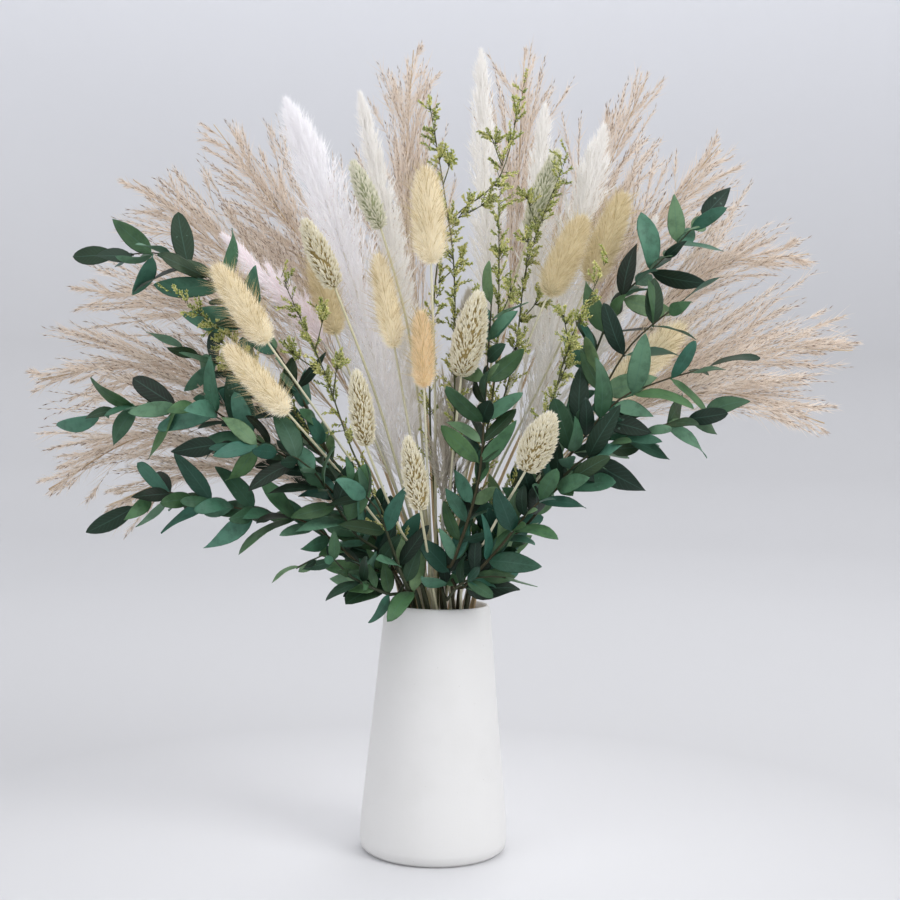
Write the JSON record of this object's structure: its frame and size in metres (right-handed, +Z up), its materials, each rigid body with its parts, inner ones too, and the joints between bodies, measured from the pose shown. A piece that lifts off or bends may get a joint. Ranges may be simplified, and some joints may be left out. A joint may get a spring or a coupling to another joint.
{
  "type": "vase of dried flowers",
  "caption": "Tapered ceramic vase holding a fan-shaped dried arrangement of reed plumes, bleached plumes, bunny tails, canary grass, limonium and preserved eucalyptus.",
  "frame": {"origin": "centre of the vase's foot, on the surface it stands on", "axes": "+Z up along the vase's axis, +X to the viewer's right, +Y away from the viewer"},
  "size_m": [0.5837, 0.244, 0.592],
  "materials": {
    "vase": "matte white, unglazed feel",
    "bunny_tail": "dried downy seed head, cream",
    "canary_grass": "dried papery scales, pale straw",
    "white_plume": "bleached silky plume",
    "reed_plume": "dried reed, beige to rose brown",
    "limonium_spray": "dried buds, yellow green",
    "eucalyptus": "preserved leaves, dark blue green, satin"
  },
  "bodies": {
    "root": {"vase": "vase", "bunny_tail_01": "bunny_tail", "bunny_tail_02": "bunny_tail", "bunny_tail_03": "bunny_tail", "bunny_tail_04": "bunny_tail", "bunny_tail_05": "bunny_tail", "bunny_tail_06": "bunny_tail", "bunny_tail_07": "bunny_tail", "bunny_tail_08": "bunny_tail", "bunny_tail_09": "bunny_tail", "canary_grass_01": "canary_grass", "canary_grass_02": "canary_grass", "canary_grass_03": "canary_grass", "canary_grass_04": "canary_grass", "canary_grass_05": "canary_grass", "canary_grass_06": "canary_grass", "canary_grass_07": "canary_grass", "white_plume_01": "white_plume", "white_plume_02": "white_plume", "white_plume_03": "white_plume", "white_plume_04": "white_plume", "white_plume_05": "white_plume", "white_plume_06": "white_plume", "white_plume_07": "white_plume", "white_plume_08": "white_plume", "reed_plume_01": "reed_plume", "reed_plume_02": "reed_plume", "reed_plume_03": "reed_plume", "reed_plume_04": "reed_plume", "reed_plume_05": "reed_plume", "reed_plume_06": "reed_plume", "reed_plume_07": "reed_plume", "reed_plume_08": "reed_plume", "reed_plume_09": "reed_plume", "reed_plume_10": "reed_plume", "reed_plume_11": "reed_plume", "reed_plume_12": "reed_plume", "reed_plume_13": "reed_plume", "limonium_spray_01": "limonium_spray", "limonium_spray_02": "limonium_spray", "limonium_spray_03": "limonium_spray", "limonium_spray_04": "limonium_spray", "limonium_spray_05": "limonium_spray", "limonium_spray_06": "limonium_spray", "limonium_spray_07": "limonium_spray", "eucalyptus_01": "eucalyptus", "eucalyptus_02": "eucalyptus", "eucalyptus_03": "eucalyptus", "eucalyptus_04": "eucalyptus", "eucalyptus_05": "eucalyptus", "eucalyptus_06": "eucalyptus", "eucalyptus_07": "eucalyptus", "eucalyptus_08": "eucalyptus", "eucalyptus_09": "eucalyptus", "eucalyptus_10": "eucalyptus", "eucalyptus_11": "eucalyptus", "eucalyptus_12": "eucalyptus", "eucalyptus_13": "eucalyptus", "eucalyptus_14": "eucalyptus"}
  },
  "joints": []
}
